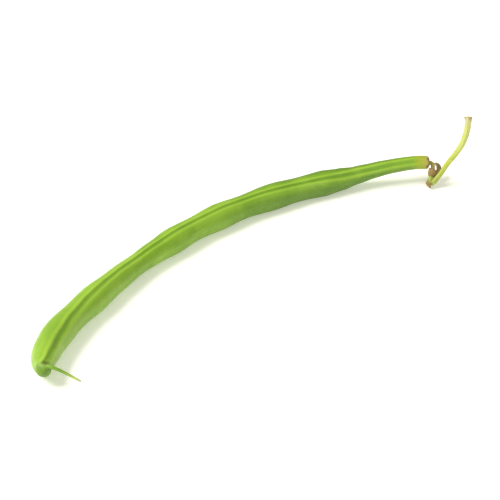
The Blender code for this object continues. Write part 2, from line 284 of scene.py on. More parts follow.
def tube_faces(rings, sides, first_pole=None, last_pole=None):
    """Faces of rings of points, closed by a fan at each end that has a pole."""
    faces = []
    for i in range(rings - 1):
        for j in range(sides):
            k = (j + 1) % sides
            faces.append((i * sides + j, i * sides + k, (i + 1) * sides + k, (i + 1) * sides + j))
    if first_pole is not None:
        faces += [(first_pole, (j + 1) % sides, j) for j in range(sides)]
    if last_pole is not None:
        base = (rings - 1) * sides
        faces += [(last_pole, base + j, base + (j + 1) % sides) for j in range(sides)]
    return faces


# ---------------------------------------------------------------- pod
def hollow_side(forward):
    """The level direction across the pod, towards the hollow side of its bend."""
    return forward.cross(UP).normalized()


def pod_frame(path, distance):
    """The pod's centre, heading, seam direction and side direction at a distance."""
    forward = path.direction(distance)
    hollow = hollow_side(forward)
    up = hollow.cross(forward)
    angle = math.radians(eased(SEAM_ANGLE, distance))
    seam = hollow * math.cos(angle) + up * math.sin(angle)
    return path.place(distance), forward, seam, forward.cross(seam)


# A section is a tuple: centre, seam direction, side direction, depth (half the pod's
# thickness towards the seam), width (half of it across), relief (how much skin detail it
# carries, 0 to 1) and along (distance from the nose, negative on chin and beak).
def nose_sections(path):
    """Sections fanned round a pivot beside the seam, from the pit to the chin."""
    pit, forward, seam, side = pod_frame(path, NOSE_PIT)
    pivot = pit + seam * (eased(POD_RADIUS, NOSE_PIT) + NOSE_PIVOT_GAP)
    hollow = hollow_side(forward)
    sections = []
    for k in range(1, NOSE_RINGS + 1):
        part = k / NOSE_RINGS
        left = 1.0 - part
        turn = math.radians(NOSE_TURN * part)
        seam_k = (seam * math.cos(turn) + forward * math.sin(turn)).normalized()
        depth = eased(NOSE_CHIN, NOSE_TURN * part) / 2.0
        width = depth + (NOSE_WIDTH - NOSE_DEPTH) / 2.0 * left
        gap = NOSE_PIVOT_GAP * (1.0 + NOSE_PIVOT_GROWTH * part)
        centre = pivot - seam_k * (depth + gap) - hollow * (NOSE_LEAN * left)
        sections.append((centre, seam_k, side, depth, width, NOSE_RELIEF * left ** 0.5,
                         NOSE_PIT - NOSE_SPAN * part))
    return sections


def beak_sections(path, chin):
    """Sections of the beak, from the chin's last section to its rounded tip."""
    root, seam, side = chin[:3]
    forward = path.direction(NOSE_PIT)
    hollow = hollow_side(forward)
    up = hollow.cross(forward)
    last = -seam.cross(side).normalized()
    if last.dot(forward) > 0.0:
        last = -last

    def local(reach):
        return hollow * reach[0] - forward * reach[1] + up * reach[2]

    tip = root + local(BEAK_REACH)
    knee_a = root + last * BEAK_LEAVE
    knee_b = tip - local(BEAK_ARRIVE)
    sections = []
    for k in range(1, BEAK_RINGS + 1):
        t = k / BEAK_RINGS
        centre = (root * (1 - t) ** 3 + knee_a * (3 * t * (1 - t) ** 2)
                  + knee_b * (3 * t * t * (1 - t)) + tip * t ** 3)
        ahead = ((knee_a - root) * (1 - t) ** 2 + (knee_b - knee_a) * (2 * t * (1 - t))
                 + (tip - knee_b) * t * t).normalized()
        turn = last.rotation_difference(ahead)
        seam = turn @ seam
        side = turn @ side
        last = ahead
        radius = eased(BEAK_RADIUS, t)
        sections.append((centre, seam, side, radius, radius, 0.0, -NOSE_SPAN - BEAK_SPAN * t))
    for k in range(1, BEAK_CAP_RINGS + 1):
        t = math.radians(90.0 * k / (BEAK_CAP_RINGS + 1))
        sections.append((tip + last * radius * math.sin(t), seam, side,
                         radius * math.cos(t), radius * math.cos(t), 0.0, BEAK_TIP_AT))
    return sections, tip + last * radius


def body_sections(path, end):
    """Sections of the pod from the nose to the shoulder."""
    count = round((end - NOSE_PIT) / BODY_STEP)
    sections = []
    for k in range(count + 1):
        distance = NOSE_PIT + (end - NOSE_PIT) * k / count
        centre, forward, seam, side = pod_frame(path, distance)
        radius = eased(POD_RADIUS, distance)
        depth, width = radius, radius
        if distance < NOSE_START:
            t = (distance - NOSE_PIT) / (NOSE_START - NOSE_PIT)
            bow = 1.0 - (1.0 - t) ** 2
            depth = NOSE_DEPTH / 2.0 * (1.0 - bow) + radius * bow
            centre = centre + seam * (radius - depth)
        if distance < NOSE_TAPER:
            t = (distance - NOSE_PIT) / (NOSE_TAPER - NOSE_PIT)
            bow = 1.0 - (1.0 - t) ** 1.5
            width = NOSE_WIDTH / 2.0 * (1.0 - bow) + radius * bow
            centre = centre - hollow_side(forward) * (NOSE_LEAN * (1.0 - bow))
        sections.append((centre, seam, side, depth, width, 1.0, distance))
    return sections


def shoulder_sections(path, end):
    """Sections that round the pod off down to its own thin stalk."""
    tube = eased(POD_RADIUS, end)
    neck = STALK_RADIUS * (1.0 + STALK_FLARE)
    sections = []
    for k in range(1, SHOULDER_RINGS + 1):
        part = k / SHOULDER_RINGS
        t = part * math.pi / 2.0
        distance = end + SHOULDER_LENGTH * math.sin(t) * SHOULDER_REACH
        centre, forward, seam, side = pod_frame(path, distance)
        radius = neck + (tube - neck) * math.cos(t)
        sections.append((centre, seam, side, radius, radius, 1.0 - part,
                         end + SHOULDER_SPAN * part))
    return sections, forward


def stalk_sections(shoulder, forward, end):
    """Sections of the pod's own stalk, on from the shoulder's last section."""
    stalk = Path(STALK)
    seam, side = shoulder[1:3]
    last = forward
    sections = []
    for k in range(1, STALK_RINGS + 1):
        distance = stalk.length * k / STALK_RINGS
        ahead = stalk.direction(distance)
        turn = last.rotation_difference(ahead)
        seam = turn @ seam
        side = turn @ side
        last = ahead
        radius = STALK_RADIUS * (1.0 + STALK_FLARE * (1.0 - k / STALK_RINGS))
        sections.append((stalk.place(distance), seam, side, radius, radius, 0.0,
                         end + SHOULDER_SPAN + distance))
    return sections, sections[-1][0] + last * STALK_CAP


def pod_sections():
    """All sections from beak tip to stalk end, and the points that close both ends."""
    path = Path(CENTRELINE)
    end = path.length - SHOULDER_LENGTH
    nose = nose_sections(path)
    beak, beak_pole = beak_sections(path, nose[-1])
    body = body_sections(path, end)
    shoulder, forward = shoulder_sections(path, end)
    stalk, stalk_pole = stalk_sections(shoulder[-1], forward, end)
    sections = list(reversed(beak)) + list(reversed(nose)) + body + shoulder + stalk
    return sections, beak_pole, stalk_pole


def seam_offset(offset, along):
    """Distance from the wandering seam line, over the seam's breadth at that place."""
    offset = offset - 0.14 * wobble(along * 0.11, 3.1, 0.0)
    return offset / eased(SEAM_BREADTH, along)


def seam_relief(offset, along):
    """Height of the valley, its lips and its string at a distance from the seam."""
    offset = seam_offset(offset, along)
    depth = eased(SEAM_BREADTH, along) ** 0.5
    valley = -0.24 * depth * bell(offset, 0.56)
    lips = 0.075 * (bell(offset - 1.2, 0.55) + bell(offset + 1.2, 0.55))
    string = (0.09 + 0.03 * wobble(along * 0.9, 7.0, 1.0)) * depth * bell(offset, 0.16)
    return valley + lips + string


def skin_detail(along, angle, arc):
    """Small rises and dips of the pod's skin (mm)."""
    x = math.cos(angle) * arc
    y = math.sin(angle) * arc
    flank = math.sin(angle) ** 2
    lumps = 0.09 * wobble(along * 0.10, x * 0.14, y * 0.14, 5.0)
    ribs = 0.03 * wobble(along * 0.05, x * 1.1, y * 1.1, 17.0)
    threads = 0.012 * wobble(along * 0.10, x * 3.2, y * 3.2, 29.0)
    pucker = 0.010 * wobble(along * 1.8, x * 0.6, y * 0.6, 23.0) * (0.3 + flank)
    seeds = 0.0
    for seed in SEEDS:
        seeds += bell(along - seed, 5.2)
    return lumps + ribs + threads + pucker + flank * (0.16 * seeds - 0.05)


def pod_angles():
    """Angles round the pod from the seam, closest together near both seams."""
    half = [math.degrees(SEAM_STEP * k / POD_MEAN_RADIUS) for k in range(SEAM_STEPS)]
    first = half[-1]
    step = (180.0 - 2.0 * first) / FLANK_STEPS
    flank = [first + step * k for k in range(1, FLANK_STEPS)]
    half = half + flank + [180.0 - a for a in reversed(half[1:])]
    whole = half + [180.0] + [360.0 - a for a in reversed(half[1:])]
    return [math.radians(a) for a in whole]


def skin_rise(along, angle, arc, front, back, relief):
    """Height of the skin over the plain section, from its seams and small unevenness."""
    rise = relief * (seam_relief(front, along)
                     + BACK_SEAM_SHARE * seam_relief(back, along + BACK_SEAM_AT))
    if relief > 0.0:
        return rise + relief * (arc / 4.0) ** 2 * skin_detail(along, angle, arc)
    return rise + 0.02 * wobble(along * 1.5, math.cos(angle) * 1.5, math.sin(angle) * 1.5)


def build_pod():
    """The pod as one skin, with each point's distances along it and from its seams."""
    sections, beak_pole, stalk_pole = pod_sections()
    angles = pod_angles()
    verts, along_v, seam_v, back_v, round_v = [], [], [], [], []
    for centre, seam, side, depth, width, relief, along in sections:
        arc = (depth + width) / 2.0
        for angle in angles:
            front = math.remainder(angle, 2.0 * math.pi) * arc
            back = math.remainder(angle - math.pi, 2.0 * math.pi) * arc
            rise = skin_rise(along, angle, arc, front, back, relief)
            point = (centre + seam * ((depth + rise) * math.cos(angle))
                     + side * ((width + rise) * math.sin(angle)))
            point.z = max(point.z, 0.0)
            verts.append(point)
            along_v.append(along)
            seam_v.append(abs(seam_offset(front, along)) if relief > 0.0 else NO_SEAM)
            back_v.append(abs(back) if relief > 0.0 else NO_SEAM)
            round_v.append(angle)
    verts += [beak_pole, stalk_pole]
    along_v += [sections[0][6], sections[-1][6]]
    seam_v += [NO_SEAM, NO_SEAM]
    back_v += [NO_SEAM, NO_SEAM]
    round_v += [0.0, 0.0]
    faces = tube_faces(len(sections), len(angles), len(verts) - 2, len(verts) - 1)
    return verts, faces, {"along": along_v, "seam": seam_v, "back": back_v, "round": round_v}


verts, faces, layers = build_pod()
low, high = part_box("pod")
mine_low = [min(v[a] for v in verts) for a in range(3)]
mine_high = [max(v[a] for v in verts) for a in range(3)]
shift = Vector(((low[0] + high[0]) / 2.0 / MM - (mine_low[0] + mine_high[0]) / 2.0,
                (low[1] + high[1]) / 2.0 / MM - (mine_low[1] + mine_high[1]) / 2.0,
                0.0))
pod = solid("pod_skin_mesh", verts, faces, layers)


# ---------------------------------------------------------------- calyx
def ring_round(axis, sides):
    """Angles round an axis, each with its outward direction."""
    across = axis.orthogonal().normalized()
    round_by = axis.cross(across)
    angles = [2.0 * math.pi * j / sides for j in range(sides)]
    return [(a, across * math.cos(a) + round_by * math.sin(a)) for a in angles]


def tooth_size(angle):
    """How far the tooth nearest to an angle stands up, each a little different."""
    tooth = math.floor((angle * CALYX_TEETH / (2.0 * math.pi)) + 0.4)
    return 0.8 + 0.45 * noise.noise(Vector((tooth % CALYX_TEETH * 3.7, 1.3, 0.0)))


def calyx_teeth(mouth, axis, ring):
    """Rows of points from the teeth's tips down to the mouth, and how near each is a tip."""
    verts, rim = [], []
    for row in range(TOOTH_ROWS):
        share = 1.0 - row / TOOTH_ROWS
        for angle, out in ring:
            wave = 0.5 + 0.5 * math.cos(CALYX_TEETH * angle + TOOTH_PHASE)
            wave = wave ** 0.8
            height = (TOOTH_BASE + TOOTH_LENGTH * tooth_size(angle) * wave) * share
            ragged = 0.08 * wobble(math.cos(angle) * 3.0, math.sin(angle) * 3.0,
                                   share * 2.0, 3.0)
            radius = CALYX_PROFILE[0][1] + TOOTH_LEAN * height + ragged
            verts.append(mouth - axis * (height + ragged * share) + out * radius)
            rim.append(share * (0.4 + 0.6 * wave))
    return verts, rim


def calyx_cup(mouth, axis, ring):
    """Rows of points from the mouth to the bottom of the cup."""
    verts = []
    for along, radius in CALYX_PROFILE:
        for angle, out in ring:
            dent = 0.07 * wobble(math.cos(angle) * 1.6, math.sin(angle) * 1.6,
                                 along * 0.8, 9.0)
            rib = 0.03 * math.cos(2 * CALYX_TEETH * angle) * min(1.0, radius)
            bent = max(0.01, radius + (dent + rib) * radius)
            verts.append(mouth + axis * along + out * bent)
    return verts


def build_calyx():
    """The calyx as an open sheet, which a modifier gives its wall."""
    mouth = Vector(CALYX_MOUTH)
    axis = Vector(CALYX_AXIS).normalized()
    ring = ring_round(axis, CALYX_SIDES)
    verts, rim = calyx_teeth(mouth, axis, ring)
    cup = calyx_cup(mouth, axis, ring)
    faces = tube_faces(TOOTH_ROWS + len(CALYX_PROFILE), CALYX_SIDES)
    return verts + cup, faces, {"rim": rim + [0.0] * len(cup)}


calyx = solid("calyx_cup", *build_calyx())


# ---------------------------------------------------------------- bracteoles
def scale_half_width(t, width):
    """Half the scale's width at a share of its length, from narrow base to blunt tip."""
    half = width * (0.16 + 0.84 * math.sin(math.pi * (0.06 + 0.76 * t)) - 0.16 * t ** 3)
    return max(half * eased(CLAW_BREADTH, t), THINNEST_SCALE)


def scale_height(t, s, half, seed):
    """How far the scale's skin stands out: its cupping, crinkles and fine veins."""
    cup = BRACTEOLE_CUP * half * s * s
    wave = 0.14 * abs(s) ** 2 * wobble(t * 4.0, s * 1.2, 0.0, seed)
    vein = 0.025 * math.cos(s * math.pi * 4.0)
    crease = 0.06 * wobble(t * 2.0, s * 2.5, 1.0, seed + 4.0)
    return cup + wave + vein + crease


def build_bracteole(root, rise, face, length, width, curl, seed):
    """A dried scale, curled over its length, as an open sheet of rows from base to tip."""
    start = Vector(root)
    up = Vector(rise).normalized()
    out = Vector(face)
    out = (out - up * out.dot(up)).normalized()
    wide = up.cross(out)
    spot = start
    verts, along_v, across_v = [], [], []
    for row in range(BRACTEOLE_ROWS + 1):
        t = row / BRACTEOLE_ROWS
        bend = math.radians(curl) * t ** 1.6
        lift = out * math.cos(bend) - up * math.sin(bend)
        claw = (Vector(JOINT) - start) * max(0.0, 1.0 - t / CLAW_LENGTH) ** 2
        half = scale_half_width(t, width)
        for column in range(BRACTEOLE_COLUMNS + 1):
            s = 2.0 * column / BRACTEOLE_COLUMNS - 1.0
            edge = 1.0 + 0.07 * wobble(t * 7.0, s * 2.0, 3.0, seed + 2.0)
            verts.append(spot + claw + wide * (half * s * edge)
                         + lift * scale_height(t, s, half, seed))
            along_v.append(t)
            across_v.append(s)
        ahead = up * math.cos(bend) + out * math.sin(bend)
        spot = spot + ahead * (length / BRACTEOLE_ROWS)
    faces = []
    for i in range(BRACTEOLE_ROWS):
        for j in range(BRACTEOLE_COLUMNS):
            a = i * (BRACTEOLE_COLUMNS + 1) + j
            faces.append((a, a + 1, a + BRACTEOLE_COLUMNS + 2, a + BRACTEOLE_COLUMNS + 1))
    return verts, faces, {"leaf": along_v, "across": across_v}


upper = solid("bracteole_upper_scale", *build_bracteole(
    UPPER_ROOT, UPPER_RISE, UPPER_FACE, UPPER_LENGTH, UPPER_WIDTH, UPPER_CURL, UPPER_SEED))
lower = solid("bracteole_lower_scale", *build_bracteole(
    LOWER_ROOT, LOWER_RISE, LOWER_FACE, LOWER_LENGTH, LOWER_WIDTH, LOWER_CURL, LOWER_SEED))

for piece, wall in ((calyx, CALYX_WALL), (upper, UPPER_WALL), (lower, LOWER_WALL)):
    thick = piece.modifiers.new("wall", 'SOLIDIFY')
    thick.thickness = wall * MM
    thick.offset = 0.0
    soft = piece.modifiers.new("soft", 'SUBSURF')
    soft.levels = 1
    soft.render_levels = 1


# ---------------------------------------------------------------- pedicel
def torn_ragged(angle, share):
    """Unevenness of the torn end at an angle and a share of its radius."""
    return 0.25 * wobble(math.cos(angle) * 2.4 * share, math.sin(angle) * 2.4 * share,
                         0.0, 13.0)


def pedicel_skin(angle, distance, out):
    """The stalk's radius at a point of its skin: ribs, lumps and fine grain on its girth."""
    ribs = 0.035 * math.cos(9.0 * angle + 0.25 * distance) * min(1.0, distance / 2.0)
    lump = 0.05 * wobble(math.cos(angle) * 0.9, math.sin(angle) * 0.9, distance * 0.3, 2.0)
    fine = 0.015 * wobble(math.cos(angle) * 4.0, math.sin(angle) * 4.0, distance, 6.0)
    return out * (eased(PEDICEL_RADIUS, distance) + ribs + lump + fine)


def pedicel_rings(path):
    """Points of the stalk's skin, ring by ring, each with its distance and angle."""
    ahead = path.direction(0.0)
    across = ahead.orthogonal().normalized()
    last = ahead
    verts, along_v, round_v = [], [], []
    for i in range(PEDICEL_RINGS):
        distance = path.length * i / (PEDICEL_RINGS - 1)
        ahead = path.direction(distance)
        turn = last.rotation_difference(ahead)
        across = turn @ across
        side = ahead.cross(across)
        last = ahead
        slant = max(0.0, (distance - path.length + TORN_LENGTH) / TORN_LENGTH)
        for j in range(PEDICEL_SIDES):
            angle = 2.0 * math.pi * j / PEDICEL_SIDES
            out = across * math.cos(angle) + side * math.sin(angle)
            point = path.place(distance) + pedicel_skin(angle, distance, out)
            torn = slant * slant * max(0.0, out.dot(TORN_SIDE)) ** 2
            leaning = TORN_SLANT * math.cos(angle - TORN_TURN)
            point += ahead * (slant * (leaning + torn_ragged(angle, 1.0)) - TORN_DROP * torn)
            point += TORN_SIDE * (TORN_FLARE * torn)
            verts.append(point)
            along_v.append(distance)
            round_v.append(angle)
    return verts, along_v, round_v, (last, across, side)


def torn_cap(path, axes):
    """Rings that close the stalk's torn end, sunken and uneven."""
    last, across, side = axes
    end = path.length
    verts, along_v, round_v = [], [], []
    for k in range(1, TORN_RINGS + 1):
        share = 1.0 - k / (TORN_RINGS + 1.0)
        for j in range(PEDICEL_SIDES):
            angle = 2.0 * math.pi * j / PEDICEL_SIDES
            out = across * math.cos(angle) + side * math.sin(angle)
            torn = share * max(0.0, out.dot(TORN_SIDE)) ** 2
            leaning = TORN_SLANT * share * math.cos(angle - TORN_TURN)
            sink = -TORN_DEPTH * (1.0 - share ** 3) + 0.12 * wobble(
                math.cos(angle) * 3.0 * share, math.sin(angle) * 3.0 * share, 5.0, 15.0)
            rise = leaning + torn_ragged(angle, share) + sink - TORN_DROP * torn
            verts.append(path.place(end) + out * (TORN_RADIUS * share)
                         + TORN_SIDE * (TORN_FLARE * torn) + last * rise)
            along_v.append(end + 0.3 + (1.0 - share))
            round_v.append(angle)
    return verts, along_v, round_v


def build_pedicel():
    """The flower stalk from the calyx to its torn end."""
    path = Path(PEDICEL)
    verts, along_v, round_v, axes = pedicel_rings(path)
    cap_verts, cap_along, cap_round = torn_cap(path, axes)
    foot = path.place(0.0) - path.direction(0.0) * 0.1
    middle = path.place(path.length) - axes[0] * 0.3
    verts += cap_verts + [foot, middle]
    along_v += cap_along + [0.0, path.length + 1.4]
    round_v += cap_round + [0.0, 0.0]
    faces = tube_faces(PEDICEL_RINGS + TORN_RINGS, PEDICEL_SIDES, len(verts) - 2,
                       len(verts) - 1)
    return verts, faces, {"along": along_v, "round": round_v}


pedicel = solid("pedicel_stalk", *build_pedicel())


# ---------------------------------------------------------------- material graphs
def srgb(r, g, b):
    """A display colour, 0 to 255, as scene-linear with alpha."""
    def one(v):
        v /= 255.0
        return v / 12.92 if v <= 0.04045 else ((v + 0.055) / 1.055) ** 2.4
    return (one(r), one(g), one(b), 1.0)


class Graph:
    """A short way of writing a material's nodes."""

    def __init__(self, name):
        self.material = bpy.data.materials.new(name)
        self.material.use_nodes = True
        self.tree = self.material.node_tree
        self.shader = self.tree.nodes["Principled BSDF"]

    def put(self, socket, value):
        """Links a node's output to the socket, or sets a constant on it."""
        if hasattr(value, "is_output"):
            self.tree.links.new(value, socket)
        else:
            socket.default_value = value

    def node(self, kind, **settings):
        made = self.tree.nodes.new(kind)
        for key, value in settings.items():
            setattr(made, key, value)
        return made

    def layer(self, name):
        """One of the mesh's own per-point numbers."""
        return self.node("ShaderNodeAttribute", attribute_name=name).outputs["Fac"]

    def place(self):
        return self.node("ShaderNodeTexCoord").outputs["Object"]

    def scaled(self, vector, x, y, z):
        made = self.node("ShaderNodeVectorMath", operation='MULTIPLY')
        self.put(made.inputs[0], vector)
        made.inputs[1].default_value = (x, y, z)
        return made.outputs[0]

    def vector(self, x, y, z):
        made = self.node("ShaderNodeCombineXYZ")
        for socket, value in zip(made.inputs, (x, y, z)):
            self.put(socket, value)
        return made.outputs[0]

    def math(self, operation, a, b=0.0):
        made = self.node("ShaderNodeMath", operation=operation)
        for socket, value in zip(made.inputs, (a, b)):
            self.put(socket, value)
        return made.outputs[0]

    def noise(self, vector, scale, detail=3.0, rough=0.5):
        made = self.node("ShaderNodeTexNoise")
        self.put(made.inputs["Vector"], vector)
        made.inputs["Scale"].default_value = scale
        made.inputs["Detail"].default_value = detail
        made.inputs["Roughness"].default_value = rough
        return made.outputs["Fac"]

    def cells(self, vector, scale):
        made = self.node("ShaderNodeTexVoronoi")
        self.put(made.inputs["Vector"], vector)
        made.inputs["Scale"].default_value = scale
        return made.outputs["Distance"]

    def span(self, value, low, high, out_low=0.0, out_high=1.0):
        """Eases from out_low at low to out_high at high, whichever of them is larger."""
        made = self.node("ShaderNodeMapRange", interpolation_type='SMOOTHSTEP')
        self.put(made.inputs["Value"], value)
        made.inputs["From Min"].default_value = low
        made.inputs["From Max"].default_value = high
        made.inputs["To Min"].default_value = out_low
        made.inputs["To Max"].default_value = out_high
        return made.outputs["Result"]

    def blend(self, share, a, b):
        """Colour a, with a share of colour b mixed in."""
        made = self.node("ShaderNodeMix", data_type='RGBA')
        self.put(made.inputs[0], share)
        self.put(made.inputs[6], a)
        self.put(made.inputs[7], b)
        return made.outputs[2]

    def bump(self, height, strength, distance, normal=None):
        made = self.node("ShaderNodeBump")
        made.inputs["Strength"].default_value = strength
        made.inputs["Distance"].default_value = distance
        self.put(made.inputs["Height"], height)
        if normal is not None:
            self.put(made.inputs["Normal"], normal)
        return made.outputs["Normal"]

    def finish(self, **values):
        """Fills the shader's sockets, spaces for underscores, and hands the material over."""
        for key, value in values.items():
            self.put(self.shader.inputs[key.replace("_", " ")], value)
        return self.material


POD_GREEN = srgb(113, 155, 30)
POD_PALE = srgb(138, 177, 48)
POD_DEEP = srgb(80, 130, 24)
# Painted shade for the flanks of the stem half.
POD_STEM_FLANK_SHADE = srgb(68, 106, 18)
# Painted light for the tail end.
POD_TAIL_LIGHT = srgb(142, 178, 58)
POD_GRAIN = srgb(160, 196, 70)
POD_FLECK = srgb(176, 206, 96)
# Painted highlight for the seam's lips.
SEAM_LIP_HIGHLIGHT = srgb(160, 196, 62)
# Painted shade for the seam's valley.
SEAM_VALLEY_SHADE = srgb(82, 124, 30)
SEAM_STRING = srgb(112, 152, 36)
# Painted shade for the back seam's valley.
BACK_VALLEY_SHADE = srgb(78, 120, 24)
# Painted shade for the nose's chin.
NOSE_SHADE = srgb(84, 118, 40)
# Painted shade for the pit at the beak's root.
PIT_SHADE = srgb(84, 84, 48)
BEAK_GREEN = srgb(108, 150, 34)
BEAK_PALE = srgb(196, 204, 116)
BEAK_DRY = srgb(170, 150, 90)
SHOULDER_GREEN = srgb(128, 168, 30)
SHOULDER_YELLOW = srgb(160, 172, 40)
SHOULDER_TAN = srgb(176, 160, 84)
SHOULDER_BROWN = srgb(128, 98, 52)
STALK_TAN = srgb(166, 152, 66)
SCUFF_BROWN = srgb(140, 128, 62)


def pod_skin_colour(g, place, along, ring_x, ring_y):
    """The pod's greens: clouds, patches, long streaks, painted shade on the stem half's flanks,
    painted light on the tail, grain and flecks.
    """
    clouds = g.noise(place, 95.0, 3.0, 0.55)
    colour = g.blend(g.span(clouds, 0.36, 0.66), POD_GREEN, POD_PALE)
    patches = g.noise(place, 210.0, 4.0, 0.6)
    colour = g.blend(g.span(patches, 0.52, 0.78, 0.0, 0.34), colour, POD_DEEP)
    streak_place = g.vector(g.math('MULTIPLY', along, 0.09), g.math('MULTIPLY', ring_x, 5.0),
                            g.math('MULTIPLY', ring_y, 5.0))
    streaks = g.noise(streak_place, 2.0, 4.0, 0.6)
    colour = g.blend(g.span(streaks, 0.45, 0.75, 0.0, 0.42), colour, POD_PALE)
    colour = g.blend(g.span(streaks, 0.5, 0.25, 0.0, 0.3), colour, POD_DEEP)
    # Painted shade: the flanks darken over the stem half.
    flank = g.span(g.math('ABSOLUTE', ring_y), 0.3, 0.92)
    stem_half_shade = g.span(along, 68.0, 126.0, 0.0, 0.74)
    colour = g.blend(g.math('MULTIPLY', flank, stem_half_shade), colour, POD_STEM_FLANK_SHADE)
    # Painted light: the tail end is paled as if more lit.
    colour = g.blend(g.span(along, 70.0, 25.0, 0.0, 0.42), colour, POD_TAIL_LIGHT)
    grain = g.noise(place, 1500.0, 2.0, 0.6)
    colour = g.blend(g.span(grain, 0.3, 0.7, 0.0, 0.12), colour, POD_GRAIN)
    flecks = g.cells(place, 900.0)
    return g.blend(g.span(flecks, 0.16, 0.05, 0.0, 0.2), colour, POD_FLECK)


def pod_seam_colour(g, colour, seam, back):
    """Painted highlight on the lips, painted shade in the valley and a lighter string along the
    seam, and fainter painted shade in the valley behind.
    """
    # Painted highlight: the seam's lips are paled as if catching light.
    lip_highlight = g.math('MULTIPLY', g.span(seam, 0.55, 1.1), g.span(seam, 2.4, 1.3, 0.0, 0.6))
    colour = g.blend(lip_highlight, colour, SEAM_LIP_HIGHLIGHT)
    # Painted shade darkens the seam's valley.
    colour = g.blend(g.span(seam, 1.15, 0.15, 0.0, 0.42), colour, SEAM_VALLEY_SHADE)
    colour = g.blend(g.span(seam, 0.26, 0.08, 0.0, 0.4), colour, SEAM_STRING)
    # Fainter painted shade in the back seam's valley.
    return g.blend(g.span(back, 0.85, 0.25, 0.0, 0.4), colour, BACK_VALLEY_SHADE)


def pod_nose_colour(g, colour, along, seam):
    """Painted shade on the nose and a dark brownish painted shade in the pit at the beak's root,
    and the beak out to its dry tip.
    """
    # Painted shade: the nose darkens towards the chin.
    colour = g.blend(g.span(along, 2.0, -1.5, 0.0, 0.6), colour, NOSE_SHADE)
    # Painted shade in the pit where the beak leaves the nose.
    near_pit_shade = g.span(g.math('ABSOLUTE', along), 1.6, 0.3, 0.0, 0.7)
    colour = g.blend(g.math('MULTIPLY', g.span(seam, 1.5, 0.4), near_pit_shade), colour, PIT_SHADE)
    colour = g.blend(g.span(along, -3.0, -4.5, 0.0, 0.85), colour, BEAK_GREEN)
    colour = g.blend(g.span(along, -8.0, -12.6, 0.0, 0.8), colour, BEAK_PALE)
    return g.blend(g.span(along, -12.3, -13.1, 0.0, 0.7), colour, BEAK_DRY)


def pod_stem_colour(g, colour, place, along):
    """The stem end's yellow shoulder and tan rim, the brown end, and a few scuffs."""
    wander = g.span(g.noise(place, 700.0, 3.0), 0.3, 0.7, -0.8, 0.8)
    edge = g.math('ADD', along, wander)
    colour = g.blend(g.span(edge, 140.0, 158.0, 0.0, 0.3), colour, SHOULDER_GREEN)
    colour = g.blend(g.span(edge, 157.0, 160.6, 0.0, 0.85), colour, SHOULDER_YELLOW)
    colour = g.blend(g.span(edge, 160.9, 162.0, 0.0, 0.8), colour, SHOULDER_TAN)
    colour = g.blend(g.span(edge, 162.0, 163.0, 0.0, 0.85), colour, SHOULDER_BROWN)
    colour = g.blend(g.span(edge, 163.6, 164.6, 0.0, 0.8), colour, STALK_TAN)
    scuff = g.span(g.noise(place, 420.0, 5.0, 0.7), 0.72, 0.8)
    scuff = g.math('MULTIPLY', scuff, g.span(along, 60.0, 160.0, 0.1, 0.5))
    return g.blend(scuff, colour, SCUFF_BROWN)


def pod_normal(g, place, along, ring_x, ring_y):
    """Fine unevenness across the skin, and a finer grain on it."""
    fine = g.noise(place, 2600.0, 2.0, 0.6)
    cross_place = g.vector(g.math('MULTIPLY', along, 1.6), g.math('MULTIPLY', ring_x, 1.4),
                           g.math('MULTIPLY', ring_y, 1.4))
    cross = g.noise(cross_place, 1.0, 3.0, 0.6)
    normal = g.bump(cross, 0.25, 0.00012)
    return g.bump(fine, 0.14, 0.00005, normal)


def pod_material():
    g = Graph("pod_skin_looks")
    place = g.place()
    along = g.layer("along")
    seam = g.layer("seam")
    angle = g.layer("round")
    ring_x = g.math('COSINE', angle)
    ring_y = g.math('SINE', angle)
    colour = pod_skin_colour(g, place, along, ring_x, ring_y)
    colour = pod_seam_colour(g, colour, seam, g.layer("back"))
    colour = pod_nose_colour(g, colour, along, seam)
    colour = pod_stem_colour(g, colour, place, along)
    rough = g.span(g.noise(place, 600.0, 3.0), 0.3, 0.7, 0.34, 0.5)
    normal = pod_normal(g, place, along, ring_x, ring_y)
    return g.finish(Base_Color=colour, Roughness=rough, Normal=normal,
                    Specular_IOR_Level=0.36, Subsurface_Weight=0.12,
                    Subsurface_Radius=(0.6, 1.0, 0.15), Subsurface_Scale=0.001,
                    Coat_Weight=0.07, Coat_Roughness=0.3)


def dry_material(name, base, dark, edge):
    """A graph begun with what dried parts share: mottling, veins, grain, dull roughness."""
    g = Graph(name)
    place = g.place()
    mottling = g.noise(place, 650.0, 4.0, 0.65)
    colour = g.blend(g.span(mottling, 0.36, 0.64), base, dark)
    veins = g.noise(g.scaled(place, 2600.0, 2600.0, 600.0), 1.0, 3.0, 0.6)
    colour = g.blend(g.span(veins, 0.5, 0.72, 0.0, 0.6), colour, edge)
    grain = g.noise(place, 5200.0, 3.0, 0.7)
    colour = g.blend(g.span(grain, 0.35, 0.65, 0.0, 0.3), colour, dark)
    rough = g.span(mottling, 0.3, 0.7, 0.62, 0.85)
    normal = g.bump(veins, 0.5, 0.0001)
    normal = g.bump(grain, 0.4, 0.00006, normal)
    return g, colour, rough, normal


CALYX_BASE = srgb(156, 122, 62)
CALYX_DARK = srgb(110, 78, 36)
CALYX_VEIN = srgb(184, 158, 100)
CALYX_CUP = srgb(142, 132, 58)
TOOTH_BROWN = srgb(104, 74, 36)
TOOTH_TIP = srgb(206, 190, 138)


